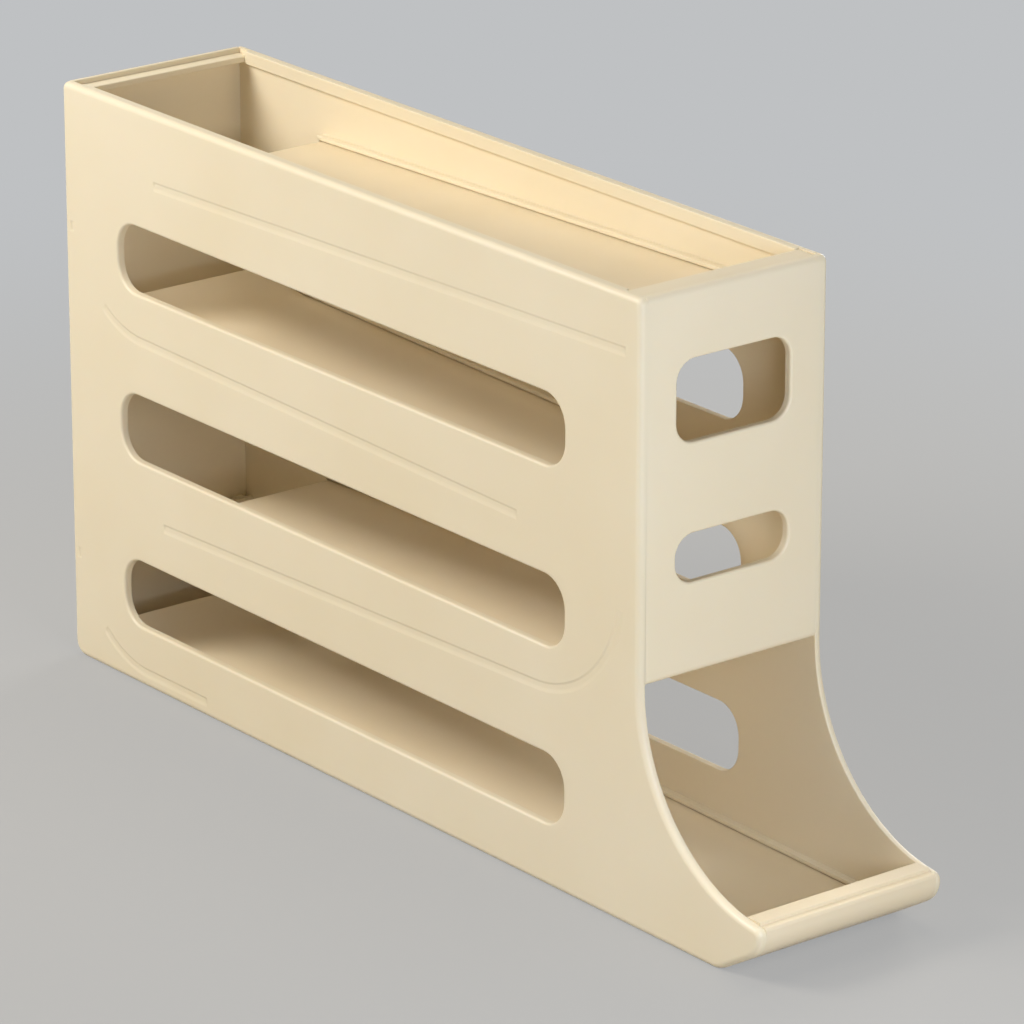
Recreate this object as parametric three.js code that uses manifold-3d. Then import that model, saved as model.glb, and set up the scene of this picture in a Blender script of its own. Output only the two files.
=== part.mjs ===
// Four-tier rolling egg holder in cream moulded plastic, in millimetres, +Z up.
// Two side panels carry everything: four sloping lane floors sit in channels on
// their inner faces, and a front and a back panel lock between them with tongues
// and snap hooks. The top lane is the open tray, and each lane drops into the next.
//
// The outlines are drawn with x measured forwards from the back face and y as the
// height. At the end the model is moved so that its origin is the middle of its
// footprint, with +X towards the dispensing tray.
import * as THREE from 'three';
import { mergeVertices } from 'three/addons/utils/BufferGeometryUtils.js';
import Module from 'manifold-3d';

const wasm = await Module();
wasm.setup();

// Driving sizes of the whole holder
const bodyLength = 338; // back face to the front panel's face
const bodyWidth = 82; // outside of one side panel to the outside of the other
const trayReach = 64.5; // how far the dispensing tray stands out in front
const tierPitch = 65.6; // height from one lane to the next
const topTrayDepth = 29.2; // rim above the base of the top tier
const wall = 3.2; // thickness of the panels
const floorThickness = 2.4; // thickness of the lane floors
const fit = 0.3; // clearance between pieces that plug together
const overrun = 1; // how far a cutter or a foot runs past the face it meets

// Rounding of the edges
const edgeRound = 2.2; // outer arris of the panels
const openingChamfer = 0.8; // fine outer arris of the slots and windows
const footRound = 6; // lower back corner
const roundSteps = 4; // facets across a rounded arris
const cornerSteps = 6; // facets round a window or slot corner

// Side slots, one for each lane below the top one
const slotRear = 34.2; // back face to the slot's rear end
const slotFront = 40.2; // slot's front end to the front panel's face
const slotSill = 23.4; // slot's lower edge above its tier
const slotHeight = 26.2;
const slotCorner = 10.8;

// Front panel and its two windows
const panelSill = 22.9; // panel's lower edge above the second tier
const windowWidth = 49.6;
const windowCorner = 7.8;
const upperWindowSill = 40.2; // above the third tier
const upperWindowHeight = 29.6;
const lowerWindowSill = 55.8; // above the second tier
const lowerWindowHeight = 17.6;

// Cut-away front of the side panels, and the tray's nose
const archRadius = 67; // concave front edge, from the panel down to the lip
const noseRun = 21.5; // length of the sloping underside
const noseRise = 10.5; // height where the slope meets the fascia's round
const noseBack = 4; // tip to the top of the slope
const noseRound = 8; // height of the fascia's lower round
const stopRise = 1.2; // raised stop above the lip
const stopThickness = 7.2; // from the fascia's inner face to the stop's rear
const trayFloorRamp = 30; // length over which the tray's floor turns up to the stop

// Lane floors: heights are of the floor's middle layer above its tier, first at
// the rear end of the straight run and then at the front end
const topLane = { tier: 3, rearGap: 57.6, rearHeight: 4.2, frontHeight: 11.4 };
const secondLane = { tier: 2, rearGap: 47.7, rearHeight: 7.1, frontHeight: 2.6, frontGap: 65.8 };
const thirdLane = { tier: 1, rearGap: 60.1, rearHeight: 3, frontHeight: 9.3, frontGap: 57 };
const bottomLane = { tier: 0, rearGap: 48.5, rearHeight: 7.4, frontHeight: 2.6 };
const secondBend = { radius: 40, turn: 35 }; // upturned rear end, turn in degrees
const thirdBend = { radius: 46, turn: 80 }; // upturned front end
const bottomBend = { radius: 42, turn: 40 };
const bendStep = 6; // degrees from one facet of a bend to the next

// Channels that hold the floors' edges, and the marks opposite them
const channelRib = 1.6; // thickness of a channel's ribs
const channelDepth = 3; // how far the ribs stand in from the panel
const channelFrontStop = 9; // channel's end to the front panel's inner face
const markWidth = 1.8; // engraved line outside
const markDepth = 0.7;
const topMarkFront = 7.5; // top line's front end to the front panel's face
const bottomMarkLength = 38; // straight part of the lowest line

// Tongues on the front and back panels, in grooves in the side panels
const tongueThickness = 1.2;
const tongueDepth = 1.4;
const tongueInset = 1.9; // panel's outer face to the middle of the tongue
const tongueMargin = 4; // tongue's end to the panel's end

// Snap hooks on the side panels, and the catches that they snap behind
const hookLength = 10;
const hookWidth = 12;
const hookThickness = 1.8;
const hookStandoff = 2.6; // panel's inner face to the hook's arm
const barbReach = 1.9;
const barbLead = 3;
const barbFlat = 0.6;
const catchHeight = 2.2;
const catchLength = 4;
const upperHookDrop = 9.8; // rim to the middle of the upper front hook
const backHookHeights = [42, 171];
const pocketInset = 4.6; // back face to the middle of the small pocket outside each back hook
const pocketWidth = 2.8;
const pocketHeight = 4.8;
const pocketDepth = 0.6;

// Stiffening round the rim, inside
const rimBeadReach = 1.7; // bead along each side panel
const rimBeadHeight = 5;
const frontShelfReach = 8.6; // shelf across the front panel, from its inner face
const frontShelfDrop = 0.4; // rim to the shelf's top
const backShelfReach = 5.4;
const backShelfDrop = 2;
const shelfThickness = 2.4;

// Under the dispensing floor
const crossRibCount = 4;
const crossRibThickness = 2;
const backReturn = 20; // back panel's foot, along the base

// Sizes that follow
const tiers = 3;
const bodyHeight = tiers * tierPitch + topTrayDepth;
const overallLength = bodyLength + trayReach;
const innerHalf = bodyWidth / 2 - wall;
const archTop = tierPitch + panelSill;
const lipHeight = archTop - Math.sqrt(archRadius ** 2 - (archRadius - trayReach) ** 2);
const frontInner = bodyLength - wall;
const upperWindowBase = 2 * tierPitch + upperWindowSill;
const lowerWindowBase = tierPitch + lowerWindowSill;
const lowerHookHeight = (upperWindowBase + lowerWindowBase + lowerWindowHeight) / 2;

// Shell colours of the cream plastic, a shade warmer where the floors are
const creamShell = () => new THREE.MeshStandardMaterial({ color: 0xeadfc7, roughness: 0.42 });
const creamFloor = () => new THREE.MeshStandardMaterial({ color: 0xe6d8bd, roughness: 0.46 });

// A closed mesh as a solid that can be joined and cut
function solidOf(geometry) {
  const bare = geometry.clone();
  bare.deleteAttribute('normal');
  bare.deleteAttribute('uv');
  const merged = mergeVertices(bare);
  return new wasm.Manifold(new wasm.Mesh({
    numProp: 3,
    vertProperties: Float32Array.from(merged.attributes.position.array),
    triVerts: Uint32Array.from(merged.index.array),
  }));
}

// A solid as a flat-shaded geometry
function geometryOf(solid) {
  const mesh = solid.getMesh();
  const indexed = new THREE.BufferGeometry();
  const positions = Float32Array.from(mesh.vertProperties);
  indexed.setAttribute('position', new THREE.BufferAttribute(positions, mesh.numProp));
  indexed.setIndex(new THREE.BufferAttribute(Uint32Array.from(mesh.triVerts), 1));
  const flat = indexed.toNonIndexed();
  flat.computeVertexNormals();
  return flat;
}

const joined = (first, ...rest) => rest.reduce((sum, next) => sum.add(next), first);
const cut = (first, ...rest) => rest.reduce((left, next) => left.subtract(next), first);

// A side-view outline as a solid from one value of Y to a higher one
function acrossWidth(shape, lowY, highY, curveSegments = cornerSteps) {
  const depth = highY - lowY;
  const geometry = new THREE.ExtrudeGeometry(shape, { depth, bevelEnabled: false, curveSegments });
  geometry.rotateX(Math.PI / 2);
  geometry.translate(0, highY, 0);
  return solidOf(geometry);
}

// A box from its lowest and highest corners
function block(low, high) {
  const size = high.map((value, axis) => value - low[axis]);
  const geometry = new THREE.BoxGeometry(...size);
  geometry.translate(...low.map((value, axis) => value + size[axis] / 2));
  return solidOf(geometry);
}

// The outline of a slot or window, a rectangle with rounded corners
function opening(left, bottom, width, height, corner) {
  const right = left + width;
  const top = bottom + height;
  const shape = new THREE.Shape();
  shape.moveTo(left + corner, bottom);
  shape.lineTo(right - corner, bottom);
  shape.absarc(right - corner, bottom + corner, corner, -Math.PI / 2, 0, false);
  shape.lineTo(right, top - corner);
  shape.absarc(right - corner, top - corner, corner, 0, Math.PI / 2, false);
  shape.lineTo(left + corner, top);
  shape.absarc(left + corner, top - corner, corner, Math.PI / 2, Math.PI, false);
  shape.lineTo(left, bottom + corner);
  shape.absarc(left + corner, bottom + corner, corner, Math.PI, 1.5 * Math.PI, false);
  return shape;
}

// A flat plate with its outer arris rounded, and openings cut through it with a
// fine chamfer outside. It is drawn in its own plane, with the inner face at 0 and
// the outer face at the wall's thickness.
function roundedPlate(shape, openings) {
  const geometry = new THREE.ExtrudeGeometry(shape, {
    depth: wall - edgeRound + overrun,
    bevelThickness: edgeRound,
    bevelSize: edgeRound,
    bevelOffset: -edgeRound,
    bevelSegments: roundSteps,
    curveSegments: cornerSteps,
  });
  geometry.translate(0, 0, -overrun);
  const cutters = openings.flatMap((hole) => {
    const through = new THREE.ExtrudeGeometry(hole, {
      depth: wall + 3 * overrun,
      bevelEnabled: false,
      curveSegments: cornerSteps,
    });
    through.translate(0, 0, -2 * overrun);
    const flare = new THREE.ExtrudeGeometry(hole, {
      depth: overrun,
      bevelThickness: openingChamfer,
      bevelSize: openingChamfer,
      bevelSegments: 1,
      curveSegments: cornerSteps,
    });
    flare.translate(0, 0, wall);
    return [solidOf(through), solidOf(flare)];
  });
  return geometryOf(cut(solidOf(geometry), ...cutters));
}

// The middle line of a lane's floor, from the rear forwards
function laneLine(lane, { rearBend, frontBend, frontX }) {
  const base = lane.tier * tierPitch;
  const rear = new THREE.Vector2(lane.rearGap, base + lane.rearHeight);
  const front = new THREE.Vector2(frontX, base + lane.frontHeight);
  const run = front.clone().sub(rear).normalize();
  const up = new THREE.Vector2(-run.y, run.x);
  const bendPoints = (foot, bend, way) => {
    const centre = foot.clone().addScaledVector(up, bend.radius);
    const count = Math.ceil(bend.turn / bendStep);
    return Array.from({ length: count }, (_, step) => {
      const angle = THREE.MathUtils.degToRad(bend.turn * (step + 1) / count);
      return centre.clone()
        .addScaledVector(run, way * bend.radius * Math.sin(angle))
        .addScaledVector(up, -bend.radius * Math.cos(angle));
    });
  };
  const rearPoints = rearBend ? bendPoints(rear, rearBend, -1).reverse() : [];
  const frontPoints = frontBend ? bendPoints(front, frontBend, 1) : [];
  return [...rearPoints, rear, front, ...frontPoints];
}

// The lower and upper edges of a band along a middle line, lengthened at each end
function bandEdges(line, thickness, rearExtra = 0, frontExtra = 0) {
  const points = line.map((point) => point.clone());
  const last = points.length - 1;
  points[0].addScaledVector(points[0].clone().sub(points[1]).normalize(), rearExtra);
  points[last].addScaledVector(points[last].clone().sub(points[last - 1]).normalize(), frontExtra);
  const edge = (way) => points.map((point, index) => {
    const before = points[Math.max(index - 1, 0)];
    const after = points[Math.min(index + 1, last)];
    const inward = point === before ? after.clone().sub(point) : point.clone().sub(before);
    const outward = point === after ? inward.clone() : after.clone().sub(point);
    const normalIn = new THREE.Vector2(-inward.y, inward.x).normalize();
    const normalOut = new THREE.Vector2(-outward.y, outward.x).normalize();
    const mitre = normalIn.clone().add(normalOut).normalize();
    return point.clone().addScaledVector(mitre, way * thickness / 2 / mitre.dot(normalIn));
  });
  return { lower: edge(-1), upper: edge(1) };
}

// The band itself, as an outline
function band(line, thickness, rearExtra, frontExtra) {
  const { lower, upper } = bandEdges(line, thickness, rearExtra, frontExtra);
  return new THREE.Shape([...lower, ...upper.reverse()]);
}

const topLine = laneLine(topLane, { frontX: frontInner - fit });
const secondLine = laneLine(secondLane, {
  rearBend: secondBend,
  frontX: bodyLength - secondLane.frontGap,
});
const thirdLine = laneLine(thirdLane, {
  frontBend: thirdBend,
  frontX: bodyLength - thirdLane.frontGap,
});
const rampStart = overallLength - trayFloorRamp;
const bottomLine = laneLine(bottomLane, { rearBend: bottomBend, frontX: rampStart });

// The side panel's outline, with the concave front edge above the tray
function sideOutline() {
  const shape = new THREE.Shape();
  shape.moveTo(footRound, 0);
  drawNose(shape);
  shape.lineTo(overallLength, lipHeight);
  const arcX = bodyLength + archRadius;
  const lipAngle = Math.atan2(lipHeight - archTop, overallLength - arcX);
  shape.absarc(arcX, archTop, archRadius, lipAngle, -Math.PI, true);
  shape.lineTo(bodyLength, bodyHeight);
  shape.lineTo(0, bodyHeight);
  shape.lineTo(0, footRound);
  shape.absarc(footRound, footRound, footRound, Math.PI, 1.5 * Math.PI, false);
  return shape;
}

// A hook in plan: an arm that runs in along Y and a barb that points at the panel
// that it holds. way is 1 when that panel is behind the arm and -1 when it is in front.
function hookPlan(panelFace, way, rootY) {
  const arm = panelFace + way * hookStandoff;
  const tip = rootY + hookLength;
  const barb = arm - way * barbReach;
  const points = [
    [arm, rootY - overrun],
    [arm + way * hookThickness, rootY - overrun],
    [arm + way * hookThickness, tip],
    [arm, tip],
    [barb, tip - barbLead],
    [barb, tip - barbLead - barbFlat],
    [arm, tip - barbLead - barbFlat],
  ];
  return new THREE.Shape(points.map(([x, y]) => new THREE.Vector2(x, y)));
}

function hook(panelFace, way, middle) {
  const geometry = new THREE.ExtrudeGeometry(hookPlan(panelFace, way, -innerHalf), {
    depth: hookWidth,
    bevelEnabled: false,
  });
  geometry.translate(0, 0, middle - hookWidth / 2);
  return solidOf(geometry);
}

const frontHookHeights = [lowerHookHeight, bodyHeight - upperHookDrop];

// The catch block of a front or back panel at one hook, on the near side
function catchBlock(panelFace, way, middle) {
  const highY = -innerHalf + hookLength - barbLead - barbFlat - fit;
  const ends = [panelFace - way * overrun, panelFace + way * catchHeight].sort((a, b) => a - b);
  return block(
    [ends[0], highY - catchLength, middle - hookWidth / 2],
    [ends[1], highY, middle + hookWidth / 2],
  );
}

// The same solid on both sides of the middle plane
function mirrored(geometry) {
  const copy = geometry.clone();
  copy.scale(1, -1, 1);
  const position = copy.attributes.position;
  for (let corner = 0; corner < position.count; corner += 3) {
    const first = new THREE.Vector3().fromBufferAttribute(position, corner);
    const second = new THREE.Vector3().fromBufferAttribute(position, corner + 1);
    position.setXYZ(corner, ...second);
    position.setXYZ(corner + 1, ...first);
  }
  copy.computeVertexNormals();
  return copy;
}

const onBothSides = (solid) => [solid, solidOf(mirrored(geometryOf(solid)))];

// The near side panel: a plate with three long slots, channels for the floors,
// hooks and grooves inside, and a fine engraved line outside along each floor
function sidePanel() {
  const slotLength = bodyLength - slotFront - slotRear;
  const openings = Array.from({ length: tiers }, (_, tier) => (
    opening(slotRear, tier * tierPitch + slotSill, slotLength, slotHeight, slotCorner)
  ));
  const plateGeometry = roundedPlate(sideOutline(), openings);
  plateGeometry.rotateX(Math.PI / 2);
  plateGeometry.translate(0, -innerHalf, 0);
  const innerTrim = block(
    [-overrun, -innerHalf, -overrun],
    [overallLength + overrun, -innerHalf + edgeRound + 2 * overrun, bodyHeight + overrun],
  );
  const plate = cut(solidOf(plateGeometry), innerTrim);

  const slotBand = floorThickness + 2 * fit;
  const ribBand = slotBand + 2 * channelRib;
  const ribEnd = channelRib + fit;
  const channelFront = -channelFrontStop;
  const lanes = [
    { line: topLine, rear: ribEnd, front: channelFront, slotFrontExtra: overrun },
    { line: secondLine, rear: ribEnd, front: ribEnd, slotFrontExtra: fit },
    { line: thirdLine, rear: ribEnd, front: ribEnd, slotFrontExtra: fit },
    { line: bottomLine, rear: ribEnd, front: 0, slotFrontExtra: overrun },
  ];
  const inside = acrossWidth(sideOutline(), -innerHalf - overrun, -innerHalf + channelDepth);
  const ribs = lanes.map(({ line, rear, front }) => (
    acrossWidth(band(line, ribBand, rear, front), -innerHalf - overrun, -innerHalf + channelDepth)
      .intersect(inside)
  ));
  const slots = lanes.map(({ line, slotFrontExtra }) => (
    acrossWidth(band(line, slotBand, fit, slotFrontExtra), -innerHalf, -innerHalf + channelDepth + overrun)
  ));
  const channels = ribs.map((rib, index) => cut(rib, slots[index]));

  const marks = [
    band(laneLine(topLane, { frontX: bodyLength - topMarkFront }), markWidth),
    band(secondLine, markWidth),
    band(thirdLine, markWidth),
    band(laneLine(
      { ...bottomLane, frontHeight: bottomLane.rearHeight },
      { rearBend: bottomBend, frontX: bottomLane.rearGap + bottomMarkLength },
    ), markWidth),
  ].map((shape) => acrossWidth(shape, -bodyWidth / 2 - overrun, -bodyWidth / 2 + markDepth));

  const grooves = [tongueInset, bodyLength - tongueInset].map((middle, index) => block(
    [middle - tongueThickness / 2 - fit / 2, -innerHalf - tongueDepth - fit, tongueLow(index) - fit],
    [middle + tongueThickness / 2 + fit / 2, -innerHalf + overrun, bodyHeight - tongueMargin + fit],
  ));
  const pockets = backHookHeights.map((middle) => block(
    [pocketInset - pocketWidth / 2, -bodyWidth / 2 - overrun, middle - pocketHeight / 2],
    [pocketInset + pocketWidth / 2, -bodyWidth / 2 + pocketDepth, middle + pocketHeight / 2],
  ));
  const hooks = [
    ...frontHookHeights.map((middle) => hook(frontInner, -1, middle)),
    ...backHookHeights.map((middle) => hook(wall, 1, middle)),
  ];
  const bead = block(
    [wall + backShelfReach + fit, -innerHalf - fit, bodyHeight - rimBeadHeight],
    [frontInner - frontShelfReach - fit, -innerHalf + rimBeadReach, bodyHeight],
  );
  const whole = joined(plate, ...channels, ...hooks, bead);
  return geometryOf(cut(whole, ...marks, ...grooves, ...pockets));
}

// Lower end of the tongue: first of the back panel, then of the front panel
function tongueLow(index) {
  return index === 0 ? footRound + tongueMargin : archTop + tongueMargin;
}

function tongue(middle, index) {
  return block(
    [middle - tongueThickness / 2, -innerHalf - tongueDepth, tongueLow(index)],
    [middle + tongueThickness / 2, -innerHalf + overrun, bodyHeight - tongueMargin],
  );
}

// The front panel: its top and bottom edges are rounded outside, its two windows
// chamfered, and its ends are square where they meet the side panels
function frontPanel() {
  const halfWidth = innerHalf + edgeRound + overrun;
  const shape = new THREE.Shape();
  shape.moveTo(-halfWidth, archTop);
  shape.lineTo(halfWidth, archTop);
  shape.lineTo(halfWidth, bodyHeight);
  shape.lineTo(-halfWidth, bodyHeight);
  shape.closePath();
  const windows = [[upperWindowBase, upperWindowHeight], [lowerWindowBase, lowerWindowHeight]]
    .map(([base, height]) => opening(-windowWidth / 2, base, windowWidth, height, windowCorner));
  const geometry = roundedPlate(shape, windows);
  geometry.rotateX(Math.PI / 2);
  geometry.rotateZ(Math.PI / 2);
  geometry.translate(frontInner, 0, 0);
  const keep = block(
    [frontInner, -innerHalf, archTop - overrun],
    [bodyLength + overrun, innerHalf, bodyHeight + overrun],
  );
  const shelf = block(
    [frontInner - frontShelfReach, -innerHalf, bodyHeight - frontShelfDrop - shelfThickness],
    [frontInner + fit, innerHalf, bodyHeight - frontShelfDrop],
  );
  const nearParts = [
    tongue(bodyLength - tongueInset, 1),
    ...frontHookHeights.map((middle) => catchBlock(frontInner, -1, middle)),
  ];
  const panel = solidOf(geometry).intersect(keep);
  return geometryOf(joined(panel, shelf, ...nearParts.flatMap(onBothSides)));
}

// The back panel: a plain wall that turns forwards at its foot
function backPanel() {
  const shape = new THREE.Shape();
  shape.moveTo(footRound, 0);
  shape.lineTo(backReturn, 0);
  shape.lineTo(backReturn, floorThickness);
  shape.lineTo(footRound, floorThickness);
  shape.absarc(footRound, footRound, footRound - floorThickness, 1.5 * Math.PI, Math.PI, true);
  shape.lineTo(wall, footRound);
  shape.lineTo(wall, bodyHeight);
  shape.lineTo(edgeRound, bodyHeight);
  shape.absarc(edgeRound, bodyHeight - edgeRound, edgeRound, Math.PI / 2, Math.PI, false);
  shape.lineTo(0, footRound);
  shape.absarc(footRound, footRound, footRound, Math.PI, 1.5 * Math.PI, false);
  const shelf = block(
    [wall - fit, -innerHalf, bodyHeight - backShelfDrop - shelfThickness],
    [wall + backShelfReach, innerHalf, bodyHeight - backShelfDrop],
  );
  const nearParts = [
    tongue(tongueInset, 0),
    ...backHookHeights.map((middle) => catchBlock(wall, 1, middle)),
  ];
  const panel = acrossWidth(shape, -innerHalf, innerHalf);
  return geometryOf(joined(panel, shelf, ...nearParts.flatMap(onBothSides)));
}

// A lane floor between the side panels, its edges in their channels
function laneFloor(line) {
  return acrossWidth(band(line, floorThickness), -innerHalf + fit, innerHalf - fit);
}

// The outline of the tray's nose, shared with the side panels: from the base up
// the sloping underside and round the fascia
function drawNose(path) {
  path.lineTo(overallLength - noseRun, 0);
  path.lineTo(overallLength - noseBack, noseRise);
  path.quadraticCurveTo(overallLength, noseRise + noseBack, overallLength, noseRise + noseRound);
}

// The bottom lane: its floor, the fascia and raised stop at the tray's front, and
// the cross ribs that it rests on
function dispensingTray() {
  const { lower, upper } = bandEdges(bottomLine, floorThickness);
  const stopBack = overallLength - wall - stopThickness;
  const floorTop = upper[upper.length - 1];
  const profile = new THREE.Shape();
  profile.moveTo(lower[0].x, lower[0].y);
  lower.slice(1).forEach((point) => profile.lineTo(point.x, point.y));
  drawNose(profile);
  profile.lineTo(overallLength, lipHeight - edgeRound);
  profile.absarc(overallLength - edgeRound, lipHeight - edgeRound, edgeRound, 0, Math.PI / 2, false);
  profile.lineTo(overallLength - wall, lipHeight);
  profile.lineTo(overallLength - wall, lipHeight + stopRise);
  profile.lineTo(stopBack, lipHeight + stopRise);
  profile.lineTo(stopBack, noseRise + noseRound);
  profile.quadraticCurveTo(stopBack, floorTop.y, floorTop.x, floorTop.y);
  upper.reverse().slice(1).forEach((point) => profile.lineTo(point.x, point.y));

  const edgeStrips = [-1, 1].map((side) => block(
    [-overrun, Math.min(side * (innerHalf - fit), side * (innerHalf + overrun)), -overrun],
    [rampStart, Math.max(side * (innerHalf - fit), side * (innerHalf + overrun)), tierPitch],
  ));
  const ribHalf = innerHalf - channelDepth - fit;
  const spacing = (rampStart - bottomLane.rearGap) / crossRibCount;
  const ribs = Array.from({ length: crossRibCount }, (_, index) => {
    const middle = bottomLane.rearGap + spacing * (index + 0.5);
    const along = (middle - bottomLane.rearGap) / (rampStart - bottomLane.rearGap);
    const top = THREE.MathUtils.lerp(bottomLane.rearHeight, bottomLane.frontHeight, along);
    return block(
      [middle - crossRibThickness / 2, -ribHalf, 0],
      [middle + crossRibThickness / 2, ribHalf, top],
    );
  });
  return geometryOf(joined(cut(acrossWidth(profile, -innerHalf, innerHalf), ...edgeStrips), ...ribs));
}

const model = new THREE.Group();

function place(name, geometry, material) {
  const mesh = new THREE.Mesh(geometry, material);
  mesh.name = name;
  mesh.position.x = -overallLength / 2;
  model.add(mesh);
}

const nearSide = sidePanel();
place('near_side_panel', nearSide, creamShell());
place('far_side_panel', mirrored(nearSide), creamShell());
place('front_panel', frontPanel(), creamShell());
place('back_panel', backPanel(), creamShell());
place('top_lane_floor', geometryOf(laneFloor(topLine)), creamFloor());
place('second_lane_floor', geometryOf(laneFloor(secondLine)), creamFloor());
place('third_lane_floor', geometryOf(laneFloor(thirdLine)), creamFloor());
place('dispensing_tray', dispensingTray(), creamFloor());

export default model;
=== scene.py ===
import math
import bpy
import bmesh
from mathutils import Matrix, Vector


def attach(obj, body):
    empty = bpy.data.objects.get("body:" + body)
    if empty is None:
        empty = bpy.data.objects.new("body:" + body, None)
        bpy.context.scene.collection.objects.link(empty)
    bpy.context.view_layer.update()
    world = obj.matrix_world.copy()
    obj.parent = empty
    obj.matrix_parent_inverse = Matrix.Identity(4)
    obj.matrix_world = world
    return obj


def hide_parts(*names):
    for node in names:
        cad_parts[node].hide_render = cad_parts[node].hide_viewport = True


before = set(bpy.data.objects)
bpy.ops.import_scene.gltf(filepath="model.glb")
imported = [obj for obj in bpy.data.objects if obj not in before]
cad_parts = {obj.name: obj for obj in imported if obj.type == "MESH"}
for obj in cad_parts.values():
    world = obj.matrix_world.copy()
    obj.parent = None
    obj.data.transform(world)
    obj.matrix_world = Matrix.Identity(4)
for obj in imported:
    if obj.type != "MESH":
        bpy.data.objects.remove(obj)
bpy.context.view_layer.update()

# camera, as the photograph was taken
shot = {
    "location": (1.65347, -1.28806, 0.85433),  # metres
    "back": (0.74001, -0.58211, 0.33693),  # from the holder to the camera
    "lens": 219.84,  # millimetres
    "sensor": 36,
    "clipEnd": 50,  # metres
}
cameraData = bpy.data.cameras.new("camera")
cameraData.lens = shot["lens"]
cameraData.sensor_width = shot["sensor"]
cameraData.clip_end = shot["clipEnd"]
camera = bpy.data.objects.new("camera", cameraData)
camera.location = shot["location"]
camera.rotation_mode = "QUATERNION"
camera.rotation_quaternion = (-Vector(shot["back"])).to_track_quat("-Z", "Y")
bpy.context.scene.collection.objects.link(camera)
bpy.context.scene.camera = camera
print("camera placed")

# whole holder, in millimetres, x from the back face, y across, z up
holder = {
    "length": 338,  # to the front panel's face
    "reach": 402.5,  # to the tray's front
    "height": 226,
    "half": 41,
    "wall": 3.2,
    "tier": 65.6,
    "round": 2.2,  # outer arris
    "ring": 0.2,  # flat ring inside the arris, which keeps the face's shading flat
    "innerRound": 0.4,  # inner arris
    "innerRing": 0.6,  # flat ring on the inner face, in which its arris is rounded
    "holeRound": 1,  # outer arris of slots and windows
    "holeMargin": 1.5,  # flat ring round a hole, in which its arris is rounded
    "soft": 0.3,  # edges of ribs, stops and other small parts
    "fit": 0.3,
    "floor": 2.4,
    "seat": 0.5,  # how far channel ribs and bead reach into the wall that carries them
}
# how finely the pieces are drawn
drawing = {
    # facets of an outer arris, a hole's arris, a small edge, a corner, a loop's corner
    "roundSteps": 8, "holeSteps": 5, "softSteps": 3, "cornerSteps": 8, "loopSteps": 10,
    "sinkSteps": 6,  # facets across a groove's side
    "bendStep": 4,  # degrees of a bend for each facet
    "profile": 0.5,  # a bevel's profile, round
    # degrees from which an edge is softened, and shaded as sharp; radians from which
    # a wall's edge counts as its arris
    "softenFrom": 50, "sharpFrom": 40, "arrisFrom": 1,
    "facing": 0.9,  # how far a face looks sideways to count as a side face
    "weld": 0.001, "touch": 0.01,  # millimetres within which points, and places, are one
    "perMetre": 1000,
}
innerHalf = holder["half"] - holder["wall"]
frontInner = holder["length"] - holder["wall"]
toMiddle = Matrix.Translation((-holder["reach"] / 2, 0, 0))
toFrame = Matrix.Scale(1 / drawing["perMetre"], 4) @ toMiddle

# middle lines of the lane floors: (x, z) at the rear and front of the straight
# run, then radius and turn in degrees of the upturned ends
lanes = {
    "top": {"rear": (57.6, 201.0), "front": (334.5, 208.2)},
    "second": {"rear": (47.7, 138.3), "front": (272.2, 133.8), "rearBend": (40, 35)},
    "third": {"rear": (60.1, 68.6), "front": (281, 74.9), "frontBend": (46, 80)},
    "bottom": {"rear": (48.5, 7.4), "front": (372.5, 2.6), "rearBend": (42, 40)},
}


def roundCorner(bm, point, rounding, segments=drawing["cornerSteps"]):
    bmesh.ops.bevel(bm, geom=[point], offset=rounding, offset_type="OFFSET", segments=segments,
                    profile=drawing["profile"], affect="VERTICES", material=-1)


def wireLoop(bm, corners):
    # closed loop in the drawing plane; each corner is (x, y, rounding)
    points = [bm.verts.new((x, y, 0)) for x, y, _ in corners]
    for index, point in enumerate(points):
        bm.edges.new((point, points[(index + 1) % len(points)]))
    for point, (_, _, rounding) in zip(points, corners):
        if rounding:
            roundCorner(bm, point, rounding, drawing["loopSteps"])


def wireRectangle(bm, left, bottom, width, height, corner, grow=0):
    left, bottom = left - grow, bottom - grow
    right, top = left + width + 2 * grow, bottom + height + 2 * grow
    corner = corner + grow
    wireLoop(bm, [(left, bottom, corner), (right, bottom, corner),
                  (right, top, corner), (left, top, corner)])


def reliefRectangle(bm, left, bottom, width, height):
    corners = [(left, bottom), (left + width, bottom), (left + width, bottom + height),
               (left, bottom + height)]
    return [bm.faces.new([bm.verts.new((x, y, 0)) for x, y in corners])]


def holePlugs(bm, holes):
    # a face over each hole and its margin; a hole is left, bottom, width, height, corner
    plugs = []
    for hole in holes:
        before = set(bm.edges)
        wireRectangle(bm, *hole, holder["holeMargin"])
        loop = [edge for edge in bm.edges if edge not in before]
        plugs += bmesh.ops.contextual_create(bm, geom=loop)["faces"]
    return plugs


def insetFaces(bm, faces, thickness, depth=0):
    bmesh.ops.inset_region(bm, faces=faces, use_boundary=True, use_even_offset=True,
                           thickness=thickness, depth=depth)


def softenEdges(bm, edges, offset, segments=drawing["softSteps"]):
    bmesh.ops.bevel(bm, geom=edges, offset=offset, offset_type="OFFSET", segments=segments,
                    profile=drawing["profile"], affect="EDGES", material=-1,
                    clamp_overlap=True)


def openHoles(bm, plugs):
    insetFaces(bm, plugs, holder["holeMargin"])
    bmesh.ops.delete(bm, geom=plugs, context="FACES_ONLY")


def runOf(lane):
    rear, front = Vector(lane["rear"]), Vector(lane["front"])
    run = (front - rear).normalized()
    return rear, front, run, Vector((-run.y, run.x))


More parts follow.
